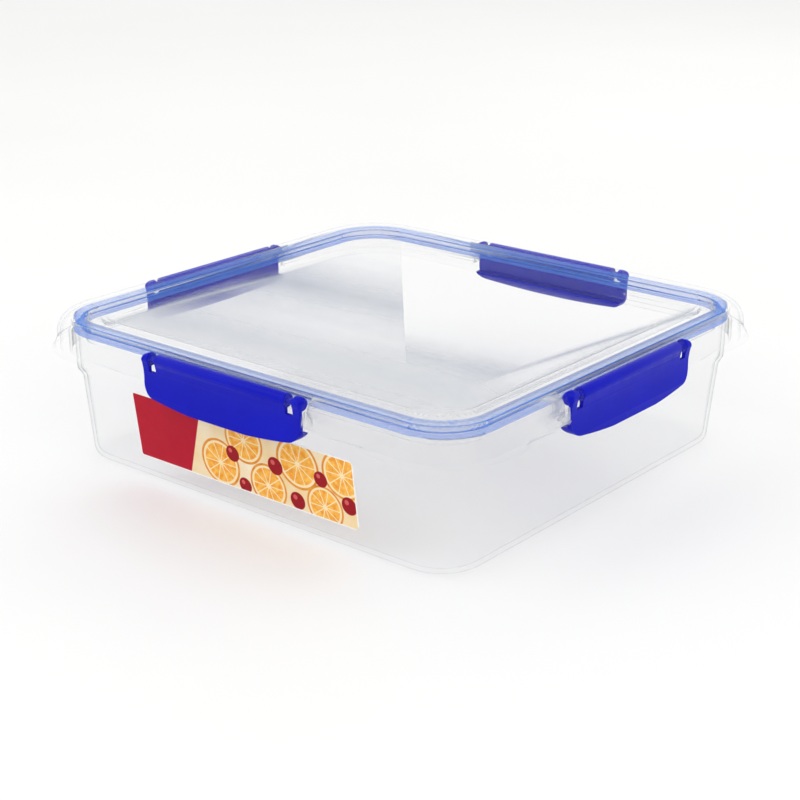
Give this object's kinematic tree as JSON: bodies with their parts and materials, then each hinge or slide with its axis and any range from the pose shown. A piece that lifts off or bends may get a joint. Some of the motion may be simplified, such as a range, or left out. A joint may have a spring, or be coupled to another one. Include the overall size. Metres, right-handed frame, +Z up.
{
  "type": "food storage keeper",
  "caption": "Clear square food keeper: tapered tub, domed lid with a soft seal, and hinged side clips that catch under the turned-down rim.",
  "frame": {"origin": "centre of the tub's base, on the surface it stands on", "axes": "+Z up through the lid; -Y out of the front wall with the label; +X to the right seen from the front"},
  "size_m": [0.28, 0.2694, 0.0752],
  "materials": {
    "tub": "clear, slightly milky, glossy",
    "lid": "clear, slightly milky, glossy",
    "seal": "soft, satin",
    "front_clip": "satin gloss",
    "right_clip": "satin gloss",
    "back_clip": "satin gloss",
    "left_clip": "satin gloss",
    "front_label": "printed film, satin"
  },
  "bodies": {
    "tub": {"tub": "tub", "front_label": "front_label"},
    "lid": {"lid": "lid", "seal": "seal"},
    "front_clip": {"front_clip": "front_clip"},
    "right_clip": {"right_clip": "right_clip"},
    "back_clip": {"back_clip": "back_clip"},
    "left_clip": {"left_clip": "left_clip"}
  },
  "joints": [
    {"name": "lid_lift", "type": "slide", "parent": "tub", "child": "lid", "axis": [0, 0, 1], "range_m": [0, 0.12]},
    {"name": "front_clip_hinge", "type": "hinge", "parent": "lid", "child": "front_clip", "pos_m": [0, -0.1297, 0.0702], "axis": [-1, 0, 0], "range_deg": [-4, 110]},
    {"name": "right_clip_hinge", "type": "hinge", "parent": "lid", "child": "right_clip", "pos_m": [0.135, 0, 0.0702], "axis": [0, -1, 0], "range_deg": [-4, 110]},
    {"name": "back_clip_hinge", "type": "hinge", "parent": "lid", "child": "back_clip", "pos_m": [0, 0.1297, 0.0702], "axis": [1, 0, 0], "range_deg": [-4, 110]},
    {"name": "left_clip_hinge", "type": "hinge", "parent": "lid", "child": "left_clip", "pos_m": [-0.135, 0, 0.0702], "axis": [0, 1, 0], "range_deg": [-4, 110]}
  ]
}
